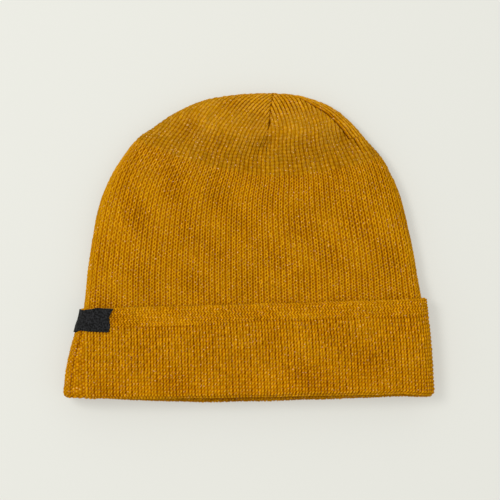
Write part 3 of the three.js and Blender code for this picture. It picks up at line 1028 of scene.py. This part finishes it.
def knit_material():
    material, tree, shader = plain_material("mustard_knit", roughness=0.9, specular=0.0)
    shader.inputs["Sheen Weight"].default_value = SHEEN_WEIGHT
    shader.inputs["Sheen Roughness"].default_value = SHEEN_ROUGHNESS
    shader.inputs["Sheen Tint"].default_value = SHEEN_TINT
    place = node(tree, "ShaderNodeTexCoord").outputs["Object"]
    # The yarn's height from the mesh: the ramp turns it into painted shade in the gaps between stitches, and
    # the fuzz lies where it is high
    height = attribute(tree, "yarn_height_and_gap_shade")

    # The stitch's tone scales the colour; on the slope and the crown it is painted shade
    light = between(tree, attribute(tree, "stitch_tone_and_shade"), *STITCH_SHADES)
    light = times(tree, light, noise_between(tree, place, *YARN_SHADES))
    light = times(tree, light, noise_between(tree, place, *FABRIC_SHADES))
    color = mix_colors(tree, "MULTIPLY", 1.0, ramp(tree, YARN_COLORS_AND_GAP_SHADE, height), light)
    color = mix_colors(tree, "MIX", noise_between(tree, place, *FLECKS), color, PALE_FIBRE)

    apart = node(tree, "ShaderNodeSeparateXYZ")
    tree.links.new(place, apart.inputs["Vector"])
    fuzz = between(tree, apart.outputs["Y"], *FUZZ_FROM, 0, FUZZ)
    fuzz = times(tree, fuzz, noise_between(tree, place, *FUZZ_PATCHES))
    fuzz = times(tree, fuzz, between(tree, height, *FUZZ_HEIGHTS))
    color = mix_colors(tree, "MIX", fuzz, color, PALE_FIBRE)

    tree.links.new(color, shader.inputs["Base Color"])
    add_bump(tree, shader, noise(tree, place, *TWIST_NOISE), *TWIST_BUMP)
    return material


# The woven label round the left fold of the cuff

# Its gap over the cuff and its thickness in mm, its lower and upper edge as places up the cap, the turn of its
# back end and the steps of its mesh
LABEL_GAP = 0.35
LABEL_THICKNESS = 0.8
LABEL_AT = (38.4, 54.8)
LABEL_BACK_TURN = -0.42
LABEL_ROWS = 40
LABEL_COLUMNS = 110

# Where its front edge ends, from its lower to its upper edge, and how its lower and upper edges wander, from
# the back round the fold to the front
LABEL_UP = (0, 0.2, 0.62, 0.85, 1)
LABEL_FRONT_TURN = (0.587, 0.592, 0.57, 0.59, 0.612)
LABEL_ASIDE = (0, 0.42, 0.52, 0.62, 0.8, 1)
LABEL_LOWER_EDGE = (0, -0.5, -0.6, 1.2, 1.1, 0.7)
LABEL_UPPER_EDGE = (0, 0, -0.3, -0.5, 1.0, 0.2)

# A wave in its middle and a ripple all over: height in mm, and turn in radians over its length and its width
LABEL_WAVE = (0.18, 23, 3)
LABEL_RIPPLE = (0.12, 41, 9)

# Its two faces lie one above the other in the texture: the size of each and the way to the second
LABEL_TEXTURE = (0.98, 0.49)
LABEL_TEXTURE_BACK = (0, 0.5)

# Its colour, the noise that shades it and the weave's scale and bump, as for the yarn
LABEL_COLOR = (0.0058, 0.006, 0.0065, 1)
LABEL_SHADES = (1000, 2, 0.4, 0.62, 0.0, 3.0)
WEAVE_SCALE = 900
WEAVE_BUMP = (0.3, 0.0002)


def running_wave(up, aside, height, turn_aside, turn_up):
    return height * np.sin(aside * turn_aside + up * turn_up)


def build_label():
    rows = np.linspace(0, 1, LABEL_ROWS + 1)
    columns = np.linspace(0, 1, LABEL_COLUMNS + 1)
    up, aside = np.meshgrid(rows, columns, indexing="ij")
    lower_at = LABEL_AT[0] + np.interp(aside, LABEL_ASIDE, LABEL_LOWER_EDGE)
    upper_at = LABEL_AT[1] + np.interp(aside, LABEL_ASIDE, LABEL_UPPER_EDGE)
    at = lower_at + up * (upper_at - lower_at)
    front = np.interp(up, LABEL_UP, LABEL_FRONT_TURN)
    turn = LABEL_BACK_TURN + (front - LABEL_BACK_TURN) * aside

    normal = unit(sample(NORMALS, at, turn))
    base = sample(POINTS, at, turn)
    wave = running_wave(up, aside, *LABEL_WAVE) * np.sin(np.pi * up)
    wave = wave + running_wave(up, aside, *LABEL_RIPPLE)
    under = CUFF_OUTER + LABEL_GAP - pinch(at, CUFF_OUTER, turn) + wave
    outer = base + normal * (under + LABEL_THICKNESS)[..., None]
    inner = base + normal * under[..., None]
    points = np.vstack([outer.reshape(-1, 3), inner.reshape(-1, 3)])
    points[:, 2] = np.maximum(points[:, 2], 0)

    count = up.size
    numbers = np.arange(count).reshape(up.shape)
    above = grid_faces(numbers)
    below = [face[::-1] for face in grid_faces(numbers + count)]
    border = np.concatenate([numbers[0, :-1], numbers[:-1, -1], numbers[-1, :0:-1], numbers[:0:-1, 0]])
    after = np.roll(border, -1)
    sides = np.stack([after, border, border + count, after + count], -1).tolist()
    face_places = np.stack([aside.ravel(), up.ravel()], -1) * LABEL_TEXTURE
    places = np.vstack([face_places, face_places + LABEL_TEXTURE_BACK])
    return make_mesh("woven_label", points, above + below + sides, {}, places)


def label_material():
    material, tree, shader = plain_material("woven_label", roughness=0.75, specular=0.15)
    place = node(tree, "ShaderNodeTexCoord").outputs["Object"]
    color = mix_colors(tree, "MULTIPLY", 1.0, LABEL_COLOR, noise_between(tree, place, *LABEL_SHADES))
    tree.links.new(color, shader.inputs["Base Color"])
    weave = node(tree, "ShaderNodeTexWave", wave_type="BANDS", bands_direction="DIAGONAL")
    weave.inputs["Scale"].default_value = WEAVE_SCALE
    tree.links.new(place, weave.inputs["Vector"])
    add_bump(tree, shader, weave.outputs["Fac"], *WEAVE_BUMP)
    return material


# Floor, light and camera

# The picture: mm for each pixel at the height of the cap's outline, its side in pixels and the pixel over
# the cap's origin
PIXEL = 0.637
PICTURE = 500
CENTRE_PIXEL = (249, 247)

# Heights in metres and the width of the camera's sensor in mm
CAMERA_HEIGHT = 2.0
OUTLINE_HEIGHT = 0.01
SENSOR = 36.0

# The floor lies a hair below the cap's flat underside, so that the two don't flicker seen from below. It is
# partly lit and partly glows, which keeps the shadow pale.
FLOOR_Z = -0.2
FLOOR_REACH = 3.0
FLOOR_COLOR = (0.36, 0.36, 0.334, 1)
FLOOR_GLOW = (0.4, 0.404, 0.377, 1)

# The way to the window, and how bright the surroundings are away from it and towards it
WINDOW_WAY = (0.1, 0.3, 0.95)
SKY = (0.1, 0.95)
SKY_COLOR = (1, 0.99, 0.97, 1)

# The lamp that gives the shadow: place and size in metres, power in watts
LAMP_PLACE = (-0.7, 0.36, 1.45)
LAMP_SIZE = 0.55
LAMP_POWER = 12


def build_floor():
    mesh = bpy.data.meshes.new("floor")
    corners = ((-1, -1), (1, -1), (1, 1), (-1, 1))
    points = [(x * FLOOR_REACH, y * FLOOR_REACH, FLOOR_Z * MM) for x, y in corners]
    mesh.from_pydata(points, [], [(0, 1, 2, 3)])
    floor = bpy.data.objects.new("floor", mesh)
    bpy.context.scene.collection.objects.link(floor)
    material, _, shader = plain_material("cream_floor", roughness=0.9, specular=0.0)
    shader.inputs["Base Color"].default_value = FLOOR_COLOR
    shader.inputs["Emission Color"].default_value = FLOOR_GLOW
    shader.inputs["Emission Strength"].default_value = 1
    floor.data.materials.append(material)


def build_light():
    world = bpy.data.worlds.new("studio")
    world.use_nodes = True
    tree = world.node_tree
    way = node(tree, "ShaderNodeVectorMath", operation="DOT_PRODUCT")
    tree.links.new(node(tree, "ShaderNodeTexCoord").outputs["Generated"], way.inputs[0])
    way.inputs[1].default_value = WINDOW_WAY
    sky = tree.nodes["Background"]
    sky.inputs["Color"].default_value = SKY_COLOR
    tree.links.new(between(tree, way.outputs["Value"], -1, 1, *SKY), sky.inputs["Strength"])
    bpy.context.scene.world = world
    lamp = bpy.data.lights.new("window", "AREA")
    lamp.energy = LAMP_POWER
    lamp.size = LAMP_SIZE
    key = bpy.data.objects.new("window", lamp)
    key.location = LAMP_PLACE
    key.rotation_euler = (-key.location).to_track_quat("-Z", "Y").to_euler()
    bpy.context.scene.collection.objects.link(key)


def build_camera():
    lens = bpy.data.cameras.new("camera")
    camera = bpy.data.objects.new("camera", lens)
    bpy.context.scene.collection.objects.link(camera)
    middle = PICTURE / 2
    camera.location = (
        (middle - CENTRE_PIXEL[0]) * PIXEL * MM,
        (CENTRE_PIXEL[1] - middle) * PIXEL * MM,
        CAMERA_HEIGHT,
    )
    lens.sensor_width = SENSOR
    lens.lens = SENSOR * (CAMERA_HEIGHT - OUTLINE_HEIGHT) / (PICTURE * PIXEL * MM)
    bpy.context.scene.camera = camera


# The scene

build_camera()
build_light()
build_floor()
knit = knit_material()
cap_pieces = [*build_panels(), *build_cuff(), build_inside(), build_tucked()]
for piece in cap_pieces:
    piece.data.materials.append(knit)
    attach(piece, "root")
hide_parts("knit_cap")

label = build_label()
label.data.materials.append(label_material())
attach(label, "root")
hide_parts("side_label")

bpy.context.scene.view_settings.view_transform = "Standard"
